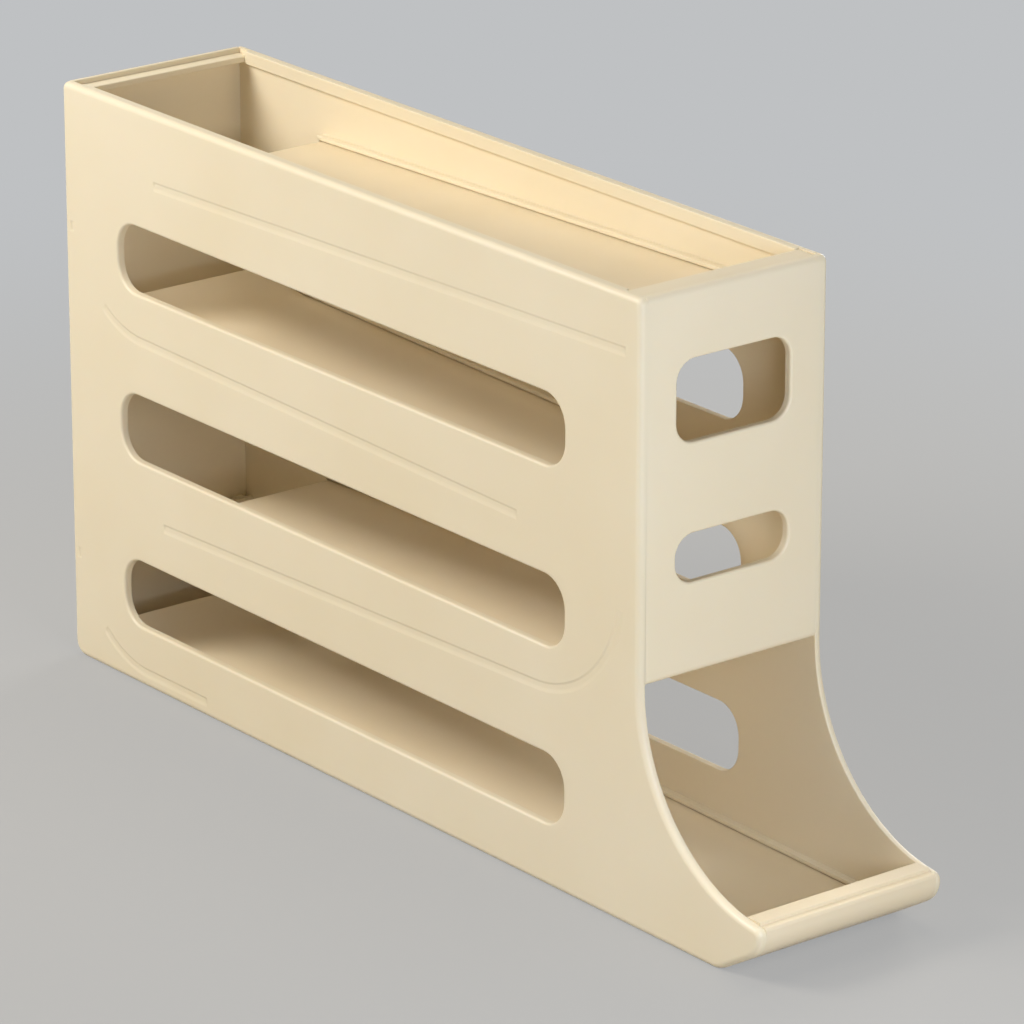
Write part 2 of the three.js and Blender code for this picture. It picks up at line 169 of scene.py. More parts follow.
def reliefLine(bm, lane, width, offset):
    # a strip of faces along a lane, drawn by sweeping one edge across it
    rear, front, run, up = runOf(lane)
    before = set(bm.faces)
    ends = [bm.verts.new((*(rear + up * (offset + way * width / 2)), 0)) for way in (-1, 1)]
    first = bm.edges.new(ends)
    swept = bmesh.ops.extrude_edge_only(bm, edges=[first])["geom"]
    last = [part for part in swept if isinstance(part, bmesh.types.BMVert)]
    bmesh.ops.translate(bm, verts=last, vec=(*(front - rear), 0))
    for foot, tip, key, way in ((rear, ends, "rearBend", -1), (front, last, "frontBend", 1)):
        if key in lane:
            radius, turn = lane[key]
            bmesh.ops.spin(bm, geom=[*tip, bm.edges.get(tip)],
                           cent=(*(foot + up * radius), 0), axis=(0, 0, 1),
                           angle=math.radians(way * turn),
                           steps=math.ceil(turn / drawing["bendStep"]),
                           use_merge=False, use_duplicate=False)
    made = [face for face in bm.faces if face not in before]
    for face in made:
        if face.normal.z < 0:
            face.normal_flip()
    return made


def fillPlate(bm, reliefs):
    # the flat face between the loops; the reliefs stay faces of their own
    for face in reliefs:
        face.normal_update()
    rims = [edge for edge in bm.edges if len(edge.link_faces) < 2]
    bmesh.ops.triangle_fill(bm, edges=rims, use_beauty=True, use_dissolve=False, normal=(0, 0, 1))
    for face in bm.faces:
        face.normal_update()
        if face.normal.z < 0:
            face.normal_flip()


def roundOver(bm, faces):
    # a rounded arris round a flat region, by one inset after another
    radius, steps = holder["round"], drawing["roundSteps"]
    turns = [math.pi / 2 * step / steps for step in range(steps + 1)]
    for low, high in zip(turns, turns[1:]):
        insetFaces(bm, faces, radius * (math.cos(low) - math.cos(high)),
                   radius * (math.sin(high) - math.sin(low)))
    insetFaces(bm, faces, holder["ring"])


def upOf(lane, spot):
    # across the lane at a spot, towards the centre of a bend where it is turned
    rear, front, run, up = runOf(lane)
    for foot, key, way in ((rear, "rearBend", -1), (front, "frontBend", 1)):
        if key in lane and (spot - foot).dot(run) * way > 0:
            return (foot + up * lane[key][0] - spot).normalized()
    return up


def sink(bm, faces, depth, draft, steps=drawing["sinkSteps"], lane=None, lean=0):
    # a shallow groove or pocket with soft edges; lean moves a groove's deepest
    # line up, so that its upper side is the steep one
    for step in range(steps):
        low, high = (math.pi * part / steps for part in (step, step + 1))
        fall = (math.cos(low) - math.cos(high)) / 2
        insetFaces(bm, faces, draft / steps, -depth * fall)
        if lane:
            for vert in {vert for face in faces for vert in face.verts}:
                vert.co.xy += upOf(lane, vert.co.xy) * lean / steps


def addMesh(bm, other):
    # the other bmesh's bodies, added to this one
    mesh = bpy.data.meshes.new("spare")
    other.to_mesh(mesh)
    other.free()
    bm.from_mesh(mesh)
    bpy.data.meshes.remove(mesh)


def plate(draw, holes, outerReliefs, innerReliefs, plain):
    # a wall with its outer arris rounded: draw makes its outline, the reliefs are
    # sunk into the outer and the inner face; the inner arris is softened too,
    # save where plain says that another wall meets it
    outer, inner = bmesh.new(), bmesh.new()
    straight = holder["wall"] - holder["round"]
    draw(outer)
    plugs = holePlugs(outer, holes)
    sunk = [(make(outer), how) for make, how in outerReliefs]
    fillPlate(outer, plugs + [face for faces, _ in sunk for face in faces])
    roundOver(outer, outer.faces[:])
    for faces, how in sunk:
        sink(outer, faces, **how)
    openHoles(outer, plugs)
    rims = [edge for edge in outer.edges if edge.is_boundary]
    walls = bmesh.ops.extrude_edge_only(outer, edges=rims)["geom"]
    for part in walls:
        if isinstance(part, bmesh.types.BMVert):
            part.co.z = -straight
    bmesh.ops.translate(outer, verts=outer.verts, vec=(0, 0, straight))
    tallest = max(vert.co.z for vert in outer.verts)
    bmesh.ops.scale(outer, verts=outer.verts, vec=(1, 1, holder["wall"] / tallest))

    draw(inner)
    plugs = holePlugs(inner, holes)
    sunk = [(make(inner), how) for make, how in innerReliefs]
    fillPlate(inner, plugs + [face for faces, _ in sunk for face in faces])
    insetFaces(inner, inner.faces[:], holder["innerRing"])
    for faces, how in sunk:
        sink(inner, faces, **how, steps=1)
    openHoles(inner, plugs)
    bmesh.ops.scale(inner, verts=inner.verts, vec=(1, 1, -1))
    bmesh.ops.reverse_faces(inner, faces=inner.faces)
    addMesh(outer, inner)
    bmesh.ops.remove_doubles(outer, verts=outer.verts, dist=drawing["weld"])
    bmesh.ops.recalc_face_normals(outer, faces=outer.faces)
    arris = [edge for edge in outer.edges if edge.calc_face_angle() > drawing["arrisFrom"]
             and max(abs(vert.co.z) for vert in edge.verts) < drawing["weld"]
             and not plain((edge.verts[0].co + edge.verts[1].co) / 2)]
    softenEdges(outer, arris, holder["innerRound"])
    lips = [edge for edge in outer.edges if edge.calc_face_angle() > drawing["arrisFrom"]
            and min(vert.co.z for vert in edge.verts) > holder["wall"] - drawing["touch"]]
    softenEdges(outer, lips, holder["holeRound"], drawing["holeSteps"])
    return outer


def softenSharp(bm, offset):
    softenEdges(bm, [edge for edge in bm.edges if len(edge.link_faces) == 2 and
                     edge.calc_face_angle() > math.radians(drawing["softenFrom"])], offset)


def block(low, high, soft=holder["soft"]):
    # a moulded rib, shelf or catch: a box stretched between two corners, edges softened
    bm = bmesh.new()
    bmesh.ops.create_cube(bm, size=1)
    low, high = Vector(low), Vector(high)
    bmesh.ops.scale(bm, verts=bm.verts, vec=high - low)
    bmesh.ops.translate(bm, verts=bm.verts, vec=(low + high) / 2)
    softenSharp(bm, soft)
    return bm


def pullOut(points, low, high, lift, soft):
    # an outline pulled out into a solid; lift turns the drawing into its place
    bm = bmesh.new()
    face = bm.faces.new([bm.verts.new((x, y, low)) for x, y in points])
    pulled = bmesh.ops.extrude_face_region(bm, geom=[face])["geom"]
    moved = [part for part in pulled if isinstance(part, bmesh.types.BMVert)]
    bmesh.ops.translate(bm, verts=moved, vec=(0, 0, high - low))
    bmesh.ops.recalc_face_normals(bm, faces=bm.faces)
    softenSharp(bm, soft)
    bmesh.ops.transform(bm, matrix=lift, verts=bm.verts)
    bmesh.ops.recalc_face_normals(bm, faces=bm.faces)
    return bm


def sweepLane(lane, offset, thickness, lowY, highY, rearExtra=0, frontExtra=0,
              soft=holder["soft"]):
    # a flat bar along a lane: straight run, then its upturned ends spun round
    rear, front, run, up = runOf(lane)
    bm = bmesh.new()

    def point(foot, height, y):
        place = foot + up * (offset + height)
        return bm.verts.new((place.x, y, place.y))

    start = rear if "rearBend" in lane else rear - run * rearExtra
    section = bm.faces.new([point(start, way * thickness / 2, y) for way, y in
                            ((-1, lowY), (1, lowY), (1, highY), (-1, highY))])
    pulled = bmesh.ops.extrude_face_region(bm, geom=[section])["geom"]
    last = next(part for part in pulled if isinstance(part, bmesh.types.BMFace))
    stretch = front - start + (Vector((0, 0)) if "frontBend" in lane else run * frontExtra)
    bmesh.ops.translate(bm, verts=last.verts, vec=(stretch.x, 0, stretch.y))
    for foot, end, key, way, extra in ((rear, section, "rearBend", 1, rearExtra),
                                       (front, last, "frontBend", -1, frontExtra)):
        if key in lane:
            radius, turn = lane[key]
            centre = foot + up * radius
            tip = bmesh.ops.spin(bm, geom=[end, *end.edges, *end.verts],
                                 cent=(centre.x, 0, centre.y), axis=(0, 1, 0),
                                 angle=math.radians(way * turn),
                                 steps=math.ceil(turn / drawing["bendStep"]),
                                 use_merge=False, use_duplicate=False)
            cap = next(part for part in tip["geom_last"] if isinstance(part, bmesh.types.BMFace))
            cap.normal_update()
            turned = run * -way
            turned.rotate(Matrix.Rotation(math.radians(turn * -way), 2))
            bmesh.ops.translate(bm, verts=cap.verts, vec=(turned.x * extra, 0, turned.y * extra))
    bmesh.ops.recalc_face_normals(bm, faces=bm.faces)
    softenSharp(bm, soft)
    return bm


def finishPiece(bm, node, finish):
    # into the frame's metres, smooth where rounded, riding with the holder
    name = node + "_moulded"
    bmesh.ops.transform(bm, matrix=toFrame, verts=bm.verts)
    mesh = bpy.data.meshes.new(name)
    bm.to_mesh(mesh)
    bm.free()
    mesh.shade_smooth()
    mesh.set_sharp_from_angle(angle=math.radians(drawing["sharpFrom"]))
    mesh.materials.append(finish)
    piece = bpy.data.objects.new(name, mesh)
    bpy.context.scene.collection.objects.link(piece)
    weighted = piece.modifiers.new("weighted normals", "WEIGHTED_NORMAL")
    weighted.keep_sharp = True
    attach(piece, "root")
    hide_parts(node)
    print(name, "made,", len(mesh.polygons), "faces")


def linearColour(hexColour):
    channels = [int(hexColour[start:start + 2], 16) / 255 for start in (1, 3, 5)]
    return [value / 12.92 if value <= 0.04045 else ((value + 0.055) / 1.055) ** 2.4
            for value in channels] + [1]


def addNode(tree, kind, inputs=(), **settings):
    node = tree.nodes.new(kind)
    for key, value in settings.items():
        setattr(node, key, value)
    for key, value in dict(inputs).items():
        if isinstance(value, bpy.types.NodeSocket):
            tree.links.new(value, node.inputs[key])
        else:
            node.inputs[key].default_value = value
    return node


# what both finishes share
plastic = {
    "noises": {"cloud": (3, 0.5), "polish": (4, 0.6), "grain": (2, 0.5), "sway": (1, 0.4)},
    "noiseRange": (0.3, 0.7),  # the part of a noise that is stretched to the full range
    "glossSway": 0.05,
    "ior": 1.49,
    "letInRadius": (1, 0.72, 0.42),  # red, green, blue
}


def mouldedPolypropylene(name, look):
    # satin injection-moulded polypropylene: a faint cloudy tint, a fine grain
    # that breaks up the gloss, and a little light let into the wall
    material = bpy.data.materials.new(name)
    material.use_nodes = True
    tree = material.node_tree
    shader = tree.nodes["Principled BSDF"]
    place = addNode(tree, "ShaderNodeTexCoord").outputs["Object"]
    rangeLow, rangeHigh = plastic["noiseRange"]

    def noise(kind):
        detail, roughness = plastic["noises"][kind]
        return addNode(tree, "ShaderNodeTexNoise",
                       {"Vector": place, "Scale": drawing["perMetre"] / look[kind + "Mm"],
                        "Detail": detail, "Roughness": roughness}).outputs["Fac"]

    def stretched(kind, low, high):
        return addNode(tree, "ShaderNodeMapRange",
                       {"Value": noise(kind), "From Min": rangeLow, "From Max": rangeHigh,
                        "To Min": low, "To Max": high}).outputs["Result"]

    def bump(kind, **under):
        return addNode(tree, "ShaderNodeBump",
                       {"Height": noise(kind), "Strength": look[kind + "Strength"],
                        "Distance": look[kind + "DepthMm"] / drawing["perMetre"],
                        **under}).outputs["Normal"]

    tint = addNode(tree, "ShaderNodeMix", data_type="RGBA")
    tree.links.new(stretched("cloud", 0, 1), tint.inputs["Factor"])
    tint.inputs[6].default_value = linearColour(look["shade"])
    tint.inputs[7].default_value = linearColour(look["colour"])
    tree.links.new(tint.outputs[2], shader.inputs["Base Color"])
    gloss = stretched("polish", look["roughness"] - plastic["glossSway"],
                      look["roughness"] + plastic["glossSway"])
    tree.links.new(gloss, shader.inputs["Roughness"])
    surface = bump("sway", Normal=bump("grain"))
    tree.links.new(surface, shader.inputs["Normal"])
    shader.inputs["IOR"].default_value = plastic["ior"]
    shader.inputs["Subsurface Weight"].default_value = look["letIn"]
    shader.inputs["Subsurface Radius"].default_value = plastic["letInRadius"]
    shader.inputs["Subsurface Scale"].default_value = look["letInMm"] / drawing["perMetre"]
    return material


creamShell = mouldedPolypropylene("cream_moulded_polypropylene", {
    "colour": "#f0e3c6", "shade": "#ecddbc", "cloudMm": 90,
    "roughness": 0.45, "polishMm": 35,
    "grainMm": 0.9, "grainDepthMm": 0.02, "grainStrength": 0.12,
    "swayMm": 70, "swayDepthMm": 0.5, "swayStrength": 0.12,
    "letIn": 0.12, "letInMm": 2.5,
})
creamFloor = mouldedPolypropylene("warm_moulded_polypropylene", {
    "colour": "#ecdcbc", "shade": "#e7d5b1", "cloudMm": 70,
    "roughness": 0.46, "polishMm": 30,
    "grainMm": 0.8, "grainDepthMm": 0.03, "grainStrength": 0.3,
    "swayMm": 60, "swayDepthMm": 0.5, "swayStrength": 0.12,
    "letIn": 0.12, "letInMm": 2.5,
})
print("materials made")

# side panels: outline, slots, engraved lines, pockets, channels and hooks
side = {
    "foot": 6,  # rounding of the lower back corner
    "topCorner": 2.8, "lipCorner": 3.1,
    "arch": (405, 88.5, 67),  # centre and radius of the concave front edge
    "archSteps": 30,
    "nose": [(381, 0, 3), (398.5, 10.5, 1.8), (402.5, 14.5, 3.7)],
    "slotRear": 34.2, "slotFront": 40.2, "slotSill": 23.4, "slotHeight": 26.2, "slotCorner": 10.8,
    # engraved lines: width, depth, draft, lean to the upper side, shift off the lane
    "mark": (4.3, 0.3, 1.5, 0.45, -1.62),
    "topMark": (330.5, 0.6),  # where its line ends, how much lower it lies
    "thirdMark": 1.2,  # how much further its line runs before the bend
    "bottomMark": 38,  # length of its line's straight run
    "pocket": (4.6, 2.8, 4.8, 0.45, 1.1),  # middle from the back, width, height, depth, draft
    "pocketHeights": (42, 171),
    "rib": 1.6, "ribDepth": 3,
    "topChannelShort": 8.7,  # the top channel ends at the front panel's shelf
    "bead": (1.7, 5, 0.4),  # reach, height, rounding
    "beadEnds": (5.42, 8.62), "beadDrop": 0.02,  # clear of the back and front shelf, of the rim
}
hooks = {
    "length": 10, "width": 12, "thickness": 1.8, "standoff": 2.6,
    "barb": 1.9, "lead": 3, "flat": 0.6, "root": 1, "soft": 0.2,
    "front": (155.2, 216.2), "back": (42, 171),
}
tongues = {
    "thickness": 1.2, "depth": 1.4, "inset": 1.9, "margin": 4,
    "backLow": 10, "frontLow": 92.5, "grooveDraft": 0.02,
    "soft": 0.2, "root": 1,  # root: how far a tongue or catch reaches into its panel
}
archX, archY, archRadius = side["arch"]
lipHeight = archY - math.sqrt(archRadius ** 2 - (holder["reach"] - archX) ** 2)
# the near panel is drawn flat, then stood up with its outer face towards -Y
standNear = Matrix.Translation((0, -innerHalf, 0)) @ Matrix.Rotation(math.pi / 2, 4, "X")


def drawSide(bm):
    corners = [(0, 0, side["foot"]), *side["nose"],
               (holder["reach"], lipHeight, side["lipCorner"])]
    points = [bm.verts.new((x, y, 0)) for x, y, _ in corners]
    top = [bm.verts.new((x, holder["height"], 0)) for x in (holder["length"], 0)]
    archStart = bm.verts.new((holder["length"], archY, 0))
    for first, second in zip(points, points[1:]):
        bm.edges.new((first, second))
    bm.edges.new((archStart, top[0]))
    bm.edges.new(top)
    bm.edges.new((top[1], points[0]))
    tip = points[-1].co.copy()
    turn = math.atan2(tip.y - archY, tip.x - archX) % (2 * math.pi) - math.pi
    bmesh.ops.spin(bm, geom=[archStart], cent=(archX, archY, 0), axis=(0, 0, 1), angle=turn,
                   steps=side["archSteps"], use_merge=False, use_duplicate=False)
    bmesh.ops.remove_doubles(bm, verts=bm.verts, dist=drawing["touch"])
    for x, y, rounding in [*corners, (holder["length"], holder["height"], side["topCorner"]),
                           (0, holder["height"], side["topCorner"])]:
        if rounding:
            corner = min(bm.verts, key=lambda vert: (vert.co - Vector((x, y, 0))).length)
            roundCorner(bm, corner, rounding)


def sideSlots():
    length = holder["length"] - side["slotRear"] - side["slotFront"]
    return [(side["slotRear"], tier * holder["tier"] + side["slotSill"], length,
             side["slotHeight"], side["slotCorner"]) for tier in range(3)]


def engravedLines():
    width, depth, draft, lean, shift = side["mark"]
    rear, _, run, up = runOf(lanes["top"])
    end, lower = side["topMark"]
    top = {"rear": rear - up * lower, "front": rear - up * lower + run * (end - rear.x)}
    _, front, run, _ = runOf(lanes["third"])
    third = {**lanes["third"], "front": front + run * side["thirdMark"]}
    bottom = dict(lanes["bottom"])
    bottom["front"] = (bottom["rear"][0] + side["bottomMark"], bottom["rear"][1])
    drawn = [top, lanes["second"], third, bottom]
    return [(lambda bm, lane=lane: reliefLine(bm, lane, width, shift),
             {"depth": depth, "draft": draft, "lane": lane, "lean": lean}) for lane in drawn]


def rearPockets():
    middle, width, height, depth, draft = side["pocket"]
    left = middle - width / 2
    return [(lambda bm, z=z: reliefRectangle(bm, left, z - height / 2, width, height),
             {"depth": depth, "draft": draft}) for z in side["pocketHeights"]]


def tongueGrooves():
    gap = holder["fit"]
    width = tongues["thickness"] + gap
    made = []
    for middle, low in ((tongues["inset"], tongues["backLow"]),
                        (holder["length"] - tongues["inset"], tongues["frontLow"])):
        height = holder["height"] - tongues["margin"] + gap - (low - gap)
        made.append((lambda bm, middle=middle, low=low, height=height: reliefRectangle(
            bm, middle - width / 2, low - gap, width, height),
            {"depth": tongues["depth"] + gap, "draft": tongues["grooveDraft"]}))
    return made


def channelRibs(bm, lane, frontExtra):
    # two ribs that hold a floor's edge, and a stop across their rear end, or both
    # ends where frontExtra is None
    rib, gap = side["rib"], holder["fit"]
    half = holder["floor"] / 2 + gap
    lowY, highY = -innerHalf - holder["seat"], -innerHalf + side["ribDepth"]
    closed = frontExtra is None
    reach = gap + rib if closed else frontExtra
    for way in (-1, 1):
        addMesh(bm, sweepLane(lane, way * (half + rib / 2), rib, lowY, highY, gap + rib, reach))
    rear, front, run, up = runOf(lane)
    ends = [(rear, -1, lane.get("rearBend"))]
    if closed:
        ends.append((front, 1, lane.get("frontBend")))
    for foot, way, bend in ends:
        stop = block((gap if way > 0 else -gap - rib, lowY, -half - rib / 2),
                     (gap + rib if way > 0 else -gap, highY, half + rib / 2))
        slope = math.atan2(run.y, run.x)
        bmesh.ops.rotate(stop, verts=stop.verts, cent=(0, 0, 0),
                         matrix=Matrix.Rotation(-slope, 3, "Y"))
        bmesh.ops.translate(stop, verts=stop.verts, vec=(foot.x, 0, foot.y))
        if bend:
            centre = foot + up * bend[0]
            bmesh.ops.rotate(stop, verts=stop.verts, cent=(centre.x, 0, centre.y),
                             matrix=Matrix.Rotation(math.radians(-way * bend[1]), 3, "Y"))
        addMesh(bm, stop)


def snapHook(face, way, middle):
    arm = face + way * hooks["standoff"]
    tip = hooks["length"]
    barb = arm - way * hooks["barb"]
    back = arm + way * hooks["thickness"]
    shoulder = tip - hooks["lead"] - hooks["flat"]
    points = [(arm, -hooks["root"]), (back, -hooks["root"]), (back, tip), (arm, tip),
              (barb, tip - hooks["lead"]), (barb, shoulder), (arm, shoulder)]
    return pullOut(points, middle - hooks["width"] / 2, middle + hooks["width"] / 2,
                   Matrix.Translation((0, -innerHalf, 0)), hooks["soft"])


def metByOthers(spot):
    # where the bead, the back panel, the front panel and the tray meet a side panel
    return (spot.y > holder["height"] - drawing["touch"] or spot.x < holder["wall"]
            or spot.x > frontInner and spot.y > archY
            or spot.x > lanes["bottom"]["front"][0] and spot.y < lipHeight - drawing["touch"])


def nearSide():
    marks = engravedLines() + rearPockets()
    bm = plate(drawSide, sideSlots(), marks, tongueGrooves(), metByOthers)
    bmesh.ops.transform(bm, matrix=standNear, verts=bm.verts)
    channelRibs(bm, lanes["top"], -side["topChannelShort"])
    channelRibs(bm, lanes["second"], None)
    channelRibs(bm, lanes["third"], None)
    channelRibs(bm, lanes["bottom"], 0)
    for middle in hooks["front"]:
        addMesh(bm, snapHook(frontInner, -1, middle))
    for middle in hooks["back"]:
        addMesh(bm, snapHook(holder["wall"], 1, middle))
    reach, height, soft = side["bead"]
    rear, front = side["beadEnds"]
    rim = holder["height"]
    addMesh(bm, block((holder["wall"] + rear, -innerHalf - holder["seat"], rim - height),
                      (frontInner - front, -innerHalf + reach, rim - side["beadDrop"]), soft))
    # nothing of the lowest channel hangs below the base
    parts = [*bm.verts, *bm.edges, *bm.faces]
    bmesh.ops.bisect_plane(bm, geom=parts, plane_co=(0, 0, 0), plane_no=(0, 0, -1),
                           clear_outer=True)
    bmesh.ops.holes_fill(bm, edges=[edge for edge in bm.edges if edge.is_boundary])
    bmesh.ops.recalc_face_normals(bm, faces=bm.faces)
    return bm


def mirrorPiece(bm):
    bmesh.ops.scale(bm, verts=bm.verts, vec=(1, -1, 1))
    bmesh.ops.reverse_faces(bm, faces=bm.faces)
    return bm


finishPiece(nearSide(), "near_side_panel", creamShell)
finishPiece(mirrorPiece(nearSide()), "far_side_panel", creamShell)

# tongues and catches that the front and back panels share
catches = {"height": 2.2, "length": 4, "soft": 0.25}


def panelEnds(bm, face, way, middle, low, heights):
    # tongue and catch blocks at the near end, then the same at the far end
    near = bmesh.new()
    half = tongues["thickness"] / 2
    top = holder["height"] - tongues["margin"]
    addMesh(near, block((middle - half, -innerHalf - tongues["depth"], low),
                        (middle + half, -innerHalf + tongues["root"], top), tongues["soft"]))
    highY = -innerHalf + hooks["length"] - hooks["lead"] - hooks["flat"] - holder["fit"]
    for height in heights:
        lowX, highX = sorted((face - way * tongues["root"], face + way * catches["height"]))
        addMesh(near, block((lowX, highY - catches["length"], height - hooks["width"] / 2),
                            (highX, highY, height + hooks["width"] / 2), catches["soft"]))
    addMesh(bm, mirrorPiece(near.copy()))
    addMesh(bm, near)


# front panel and its two windows
front = {
    "sill": 88.5,
    "windowWidth": 49.6, "windowCorner": 7.8,
    "windows": ((171.4, 29.6), (121.4, 17.6)),  # base and height
    "shelf": (8.6, 0.4, 2.4),  # reach, drop from the rim, thickness
    "shelfSeat": 0.3, "shelfSoft": 0.4,
    "spare": 1,  # drawn wider by this and the arris, then cut to the clear width
}


def drawFront(bm):
    span = innerHalf + holder["round"] + front["spare"]
    wireRectangle(bm, -span, front["sill"], 2 * span, holder["height"] - front["sill"], 0)


def frontWindows():
    width = front["windowWidth"]
    return [(-width / 2, base, width, height, front["windowCorner"])
            for base, height in front["windows"]]


def frontPanel():
    bm = plate(drawFront, frontWindows(), [], [], lambda spot: abs(spot.x) > innerHalf)
    bmesh.ops.transform(bm, matrix=Matrix.Translation((frontInner, 0, 0)) @ Matrix(
        ((0, 0, 1, 0), (1, 0, 0, 0), (0, 1, 0, 0), (0, 0, 0, 1))), verts=bm.verts)
    for way in (-1, 1):
        parts = [*bm.verts, *bm.edges, *bm.faces]
        bmesh.ops.bisect_plane(bm, geom=parts, plane_co=(0, way * innerHalf, 0),
                               plane_no=(0, way, 0), clear_outer=True)
        rim = [edge for edge in bm.edges if edge.is_boundary]
        bmesh.ops.edgeloop_fill(bm, edges=rim)
    reach, drop, thickness = front["shelf"]
    shelfTop = holder["height"] - drop
    addMesh(bm, block((frontInner - reach, -innerHalf, shelfTop - thickness),
                      (frontInner + front["shelfSeat"], innerHalf, shelfTop), front["shelfSoft"]))
    panelEnds(bm, frontInner, -1, holder["length"] - tongues["inset"], tongues["frontLow"],
              hooks["front"])
    bmesh.ops.recalc_face_normals(bm, faces=bm.faces)
    return bm


finishPiece(frontPanel(), "front_panel", creamShell)

# back panel, turned forwards at its foot
back = {
    "foot": 6, "return": 20, "returnSoft": 0.5, "innerCorner": 3.2, "innerRim": 0.4,
    "shelf": (5.4, 2, 2.4),  # reach, drop from the rim, thickness
    "shelfSeat": 0.3, "shelfSoft": 0.4,
}


def acrossWidth(bm, half):
    # the drawn outline stands in x and z and is pulled out across the width
    bmesh.ops.rotate(bm, verts=bm.verts, cent=(0, 0, 0),
                     matrix=Matrix.Rotation(math.pi / 2, 3, "X"))
    bmesh.ops.translate(bm, verts=bm.verts, vec=(0, half, 0))
    pulled = bmesh.ops.extrude_face_region(bm, geom=bm.faces[:])["geom"]
    moved = [part for part in pulled if isinstance(part, bmesh.types.BMVert)]
    bmesh.ops.translate(bm, verts=moved, vec=(0, -2 * half, 0))
    bmesh.ops.recalc_face_normals(bm, faces=bm.faces)


def backPanel():
    bm = bmesh.new()
    wall, foot = holder["wall"], back["foot"]
    wireLoop(bm, [(0, 0, foot), (back["return"], 0, back["returnSoft"]),
                  (back["return"], holder["floor"], back["returnSoft"]),
                  (wall, holder["floor"], back["innerCorner"]),
                  (wall, holder["height"], back["innerRim"]),
                  (0, holder["height"], holder["round"])])
    bmesh.ops.contextual_create(bm, geom=bm.edges[:])
    acrossWidth(bm, innerHalf)
    reach, drop, thickness = back["shelf"]
    shelfTop = holder["height"] - drop
    addMesh(bm, block((wall - back["shelfSeat"], -innerHalf, shelfTop - thickness),
                      (wall + reach, innerHalf, shelfTop), back["shelfSoft"]))
    panelEnds(bm, wall, 1, tongues["inset"], tongues["backLow"], hooks["back"])
    bmesh.ops.recalc_face_normals(bm, faces=bm.faces)
    return bm


finishPiece(backPanel(), "back_panel", creamShell)

# lane floors, free ends rounded
floors = {"soft": 0.7}
for laneName in ("top", "second", "third"):
    half = innerHalf - holder["fit"]
    body = sweepLane(lanes[laneName], 0, holder["floor"], -half, half, soft=floors["soft"])
    finishPiece(body, laneName + "_lane_floor", creamFloor)

# dispensing tray: bottom floor, fascia, lip and raised stop
tray = {
    # rise above the lip, thickness, roundings towards the lip and the lane
    "stop": (1.2, 7.2, 0.7, 0.6),
    "lip": (1.3, 0.3),  # the lip's outer and inner arris
    "bendSteps": 12,
    "ramp": 14.5,  # rounding where the floor turns up to the stop
    "ribs": 4, "ribThickness": 2,
}


def dispensingTray():
    bm = bmesh.new()
    lane = lanes["bottom"]
    rear, frontEnd, run, up = runOf(lane)
    half = holder["floor"] / 2
    radius, turn = lane["rearBend"]
    heels, ends = [], []
    for way in (-1, 1):
        heels.append(bm.verts.new((*(frontEnd + up * way * half), 0)))
        toe = bm.verts.new((*(rear + up * way * half), 0))
        bm.edges.new((heels[-1], toe))
        spun = bmesh.ops.spin(bm, geom=[toe], cent=(*(rear + up * radius), 0), axis=(0, 0, 1),
                              angle=math.radians(-turn), steps=tray["bendSteps"],
                              use_merge=False, use_duplicate=False)
        ends += [part for part in spun["geom_last"] if isinstance(part, bmesh.types.BMVert)]
    bm.edges.new(ends)
    heels.sort(key=lambda vert: vert.co.y)
    seam = bm.edges.new(heels)
    floorEdges = bm.edges[:]
    rise, thickness, brow, ridge = tray["stop"]
    lipOuter, lipInner = tray["lip"]
    lipBack = holder["reach"] - holder["wall"]
    stopBack = lipBack - thickness
    stopTop = lipHeight + rise
    corners = [*side["nose"], (holder["reach"], lipHeight, lipOuter),
               (lipBack, lipHeight, lipInner), (lipBack, stopTop, brow),
               (stopBack, stopTop, ridge), (stopBack, heels[1].co.y, tray["ramp"])]
    points = [bm.verts.new((x, y, 0)) for x, y, _ in corners]
    chain = [heels[0], *points, heels[1]]
    for first, second in zip(chain, chain[1:]):
        bm.edges.new((first, second))
    for point, (_, _, rounding) in zip(points, corners):
        roundCorner(bm, point, rounding)
    bmesh.ops.contextual_create(bm, geom=floorEdges)
    noseEdges = [edge for edge in bm.edges if edge.is_wire] + [seam]
    bmesh.ops.contextual_create(bm, geom=noseEdges)
    acrossWidth(bm, innerHalf - holder["fit"])
    cheeks = [face for face in bm.faces if abs(face.normal.y) > drawing["facing"]
              and face.calc_center_median().x > frontEnd.x]
    for cheek in cheeks:
        way = math.copysign(holder["fit"], cheek.normal.y)
        grown = bmesh.ops.extrude_discrete_faces(bm, faces=[cheek])["faces"]
        bmesh.ops.translate(bm, verts=grown[0].verts, vec=(0, way, 0))
    reachRibs = innerHalf - side["ribDepth"] - holder["fit"]
    spacing = (frontEnd.x - rear.x) / tray["ribs"]
    for index in range(tray["ribs"]):
        middle = rear.x + spacing * (index + 0.5)
        top = rear.y + (frontEnd.y - rear.y) * (index + 0.5) / tray["ribs"]
        addMesh(bm, block((middle - tray["ribThickness"] / 2, -reachRibs, 0),
                          (middle + tray["ribThickness"] / 2, reachRibs, top)))
    bmesh.ops.recalc_face_normals(bm, faces=bm.faces)
    return bm


finishPiece(dispensingTray(), "dispensing_tray", creamFloor)

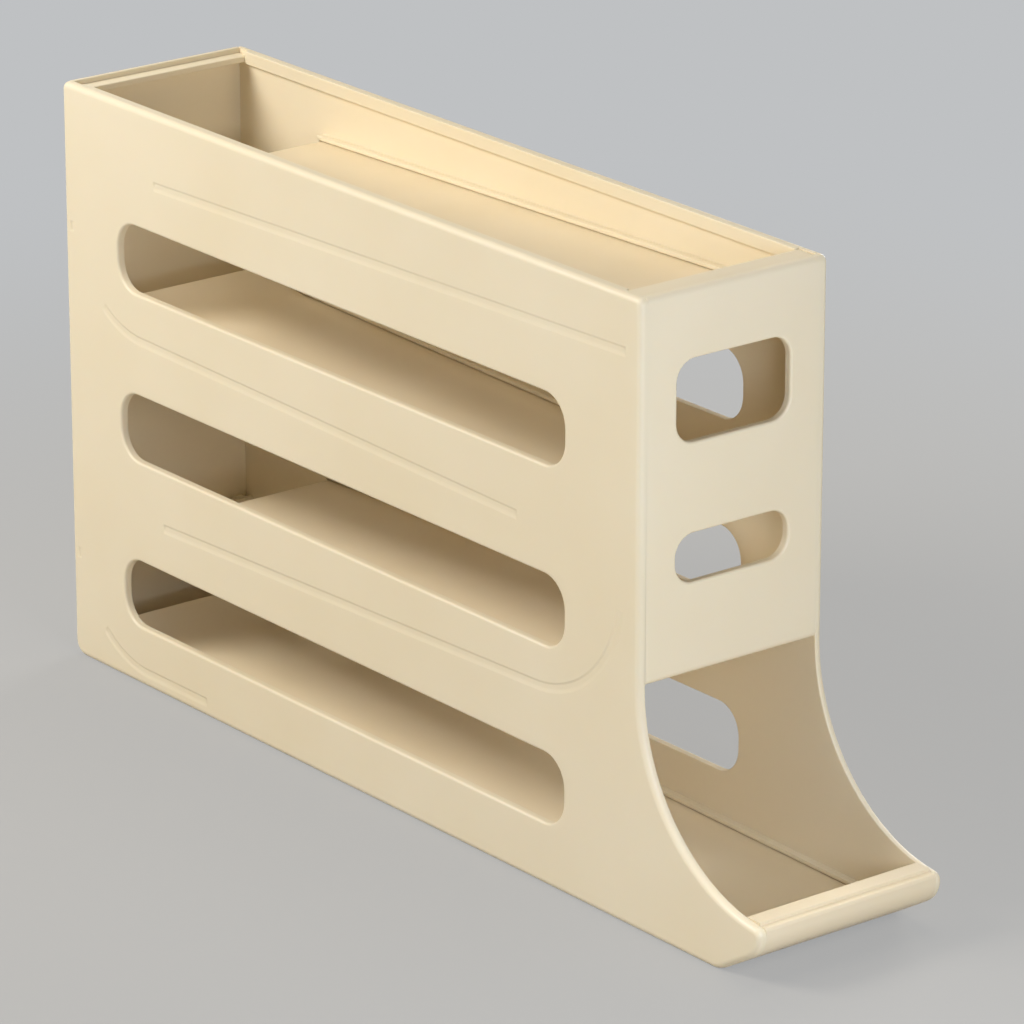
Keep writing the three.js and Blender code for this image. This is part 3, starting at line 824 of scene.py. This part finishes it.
# plain pale floor and soft studio light
studio = {
    "floorColour": "#b1aca2", "floorRoughness": 0.9, "plainTone": "#bfc1c3",
    "floorSize": 6.4, "floorCells": 8, "farFrom": 0.25, "farTo": 0.8,  # sizes in metres
    "nearShare": 0.6,  # how much of the plain tone the floor shows round the holder
    "world": "#ffffff", "worldLevel": 0.12,
    "lamps": {
        # name: (place, aimed at, size in metres, power in watts, colour)
        "key_left": ((-0.42, -0.7, 0.74), (-0.05, 0, 0.12), 0.45, 8.7, "#fffcf8"),
        "front": ((0.6, -0.15, 0.24), (0.14, 0, 0.12), 0.25, 2.1, "#eaf1ff"),
        "top": ((-0.1, 0.3, 1.8), (0, 0, 0.1), 1.2, 8, "#fff6ea"),
        "back": ((-0.5, 1.2, 0.5), (0, 0, 0.12), 0.6, 8, "#ffffff"),
    },
}


def paleFloor():
    # matte floor that takes the holder's shadow and goes over to one plain pale
    # tone further off, where the lamps don't reach
    bm = bmesh.new()
    bmesh.ops.create_grid(bm, x_segments=studio["floorCells"], y_segments=studio["floorCells"],
                          size=studio["floorSize"] / 2)
    mesh = bpy.data.meshes.new("floor")
    bm.to_mesh(mesh)
    bm.free()
    floor = bpy.data.objects.new("floor", mesh)
    bpy.context.scene.collection.objects.link(floor)
    material = bpy.data.materials.new("pale_matte_floor")
    material.use_nodes = True
    tree = material.node_tree
    shader = tree.nodes["Principled BSDF"]
    shader.inputs["Base Color"].default_value = linearColour(studio["floorColour"])
    shader.inputs["Roughness"].default_value = studio["floorRoughness"]
    place = addNode(tree, "ShaderNodeTexCoord").outputs["Object"]
    away = addNode(tree, "ShaderNodeVectorMath", {"Vector": place}, operation="LENGTH")
    far = addNode(tree, "ShaderNodeMapRange",
                  {"Value": away.outputs["Value"], "From Min": studio["farFrom"],
                   "From Max": studio["farTo"], "To Min": studio["nearShare"]},
                  interpolation_type="SMOOTHSTEP")
    rays = addNode(tree, "ShaderNodeLightPath")
    seen = addNode(tree, "ShaderNodeMath", {0: rays.outputs["Is Camera Ray"],
                                            1: rays.outputs["Is Glossy Ray"]}, operation="MAXIMUM")
    share = addNode(tree, "ShaderNodeMath", {0: far.outputs["Result"], 1: seen.outputs["Value"]},
                    operation="MULTIPLY")
    plain = addNode(tree, "ShaderNodeEmission", {"Color": linearColour(studio["plainTone"])})
    surface = addNode(tree, "ShaderNodeMixShader", {0: share.outputs["Value"],
                                                    1: shader.outputs["BSDF"],
                                                    2: plain.outputs["Emission"]})
    tree.links.new(surface.outputs["Shader"], tree.nodes["Material Output"].inputs["Surface"])
    mesh.materials.append(material)


def addLamps():
    world = bpy.data.worlds.new("studio")
    world.use_nodes = True
    background = world.node_tree.nodes["Background"]
    background.inputs["Color"].default_value = linearColour(studio["world"])
    background.inputs["Strength"].default_value = studio["worldLevel"]
    bpy.context.scene.world = world
    for name, (place, aim, size, power, colour) in studio["lamps"].items():
        lampData = bpy.data.lights.new(name, "AREA")
        lampData.size = size
        lampData.energy = power
        lampData.color = linearColour(colour)[:3]
        lamp = bpy.data.objects.new(name, lampData)
        lamp.location = place
        lamp.visible_camera = False
        lamp.rotation_mode = "QUATERNION"
        lamp.rotation_quaternion = (Vector(aim) - Vector(place)).to_track_quat("-Z", "Y")
        bpy.context.scene.collection.objects.link(lamp)


paleFloor()
addLamps()
bpy.context.scene.view_settings.view_transform = "Standard"
print("floor and lamps placed")
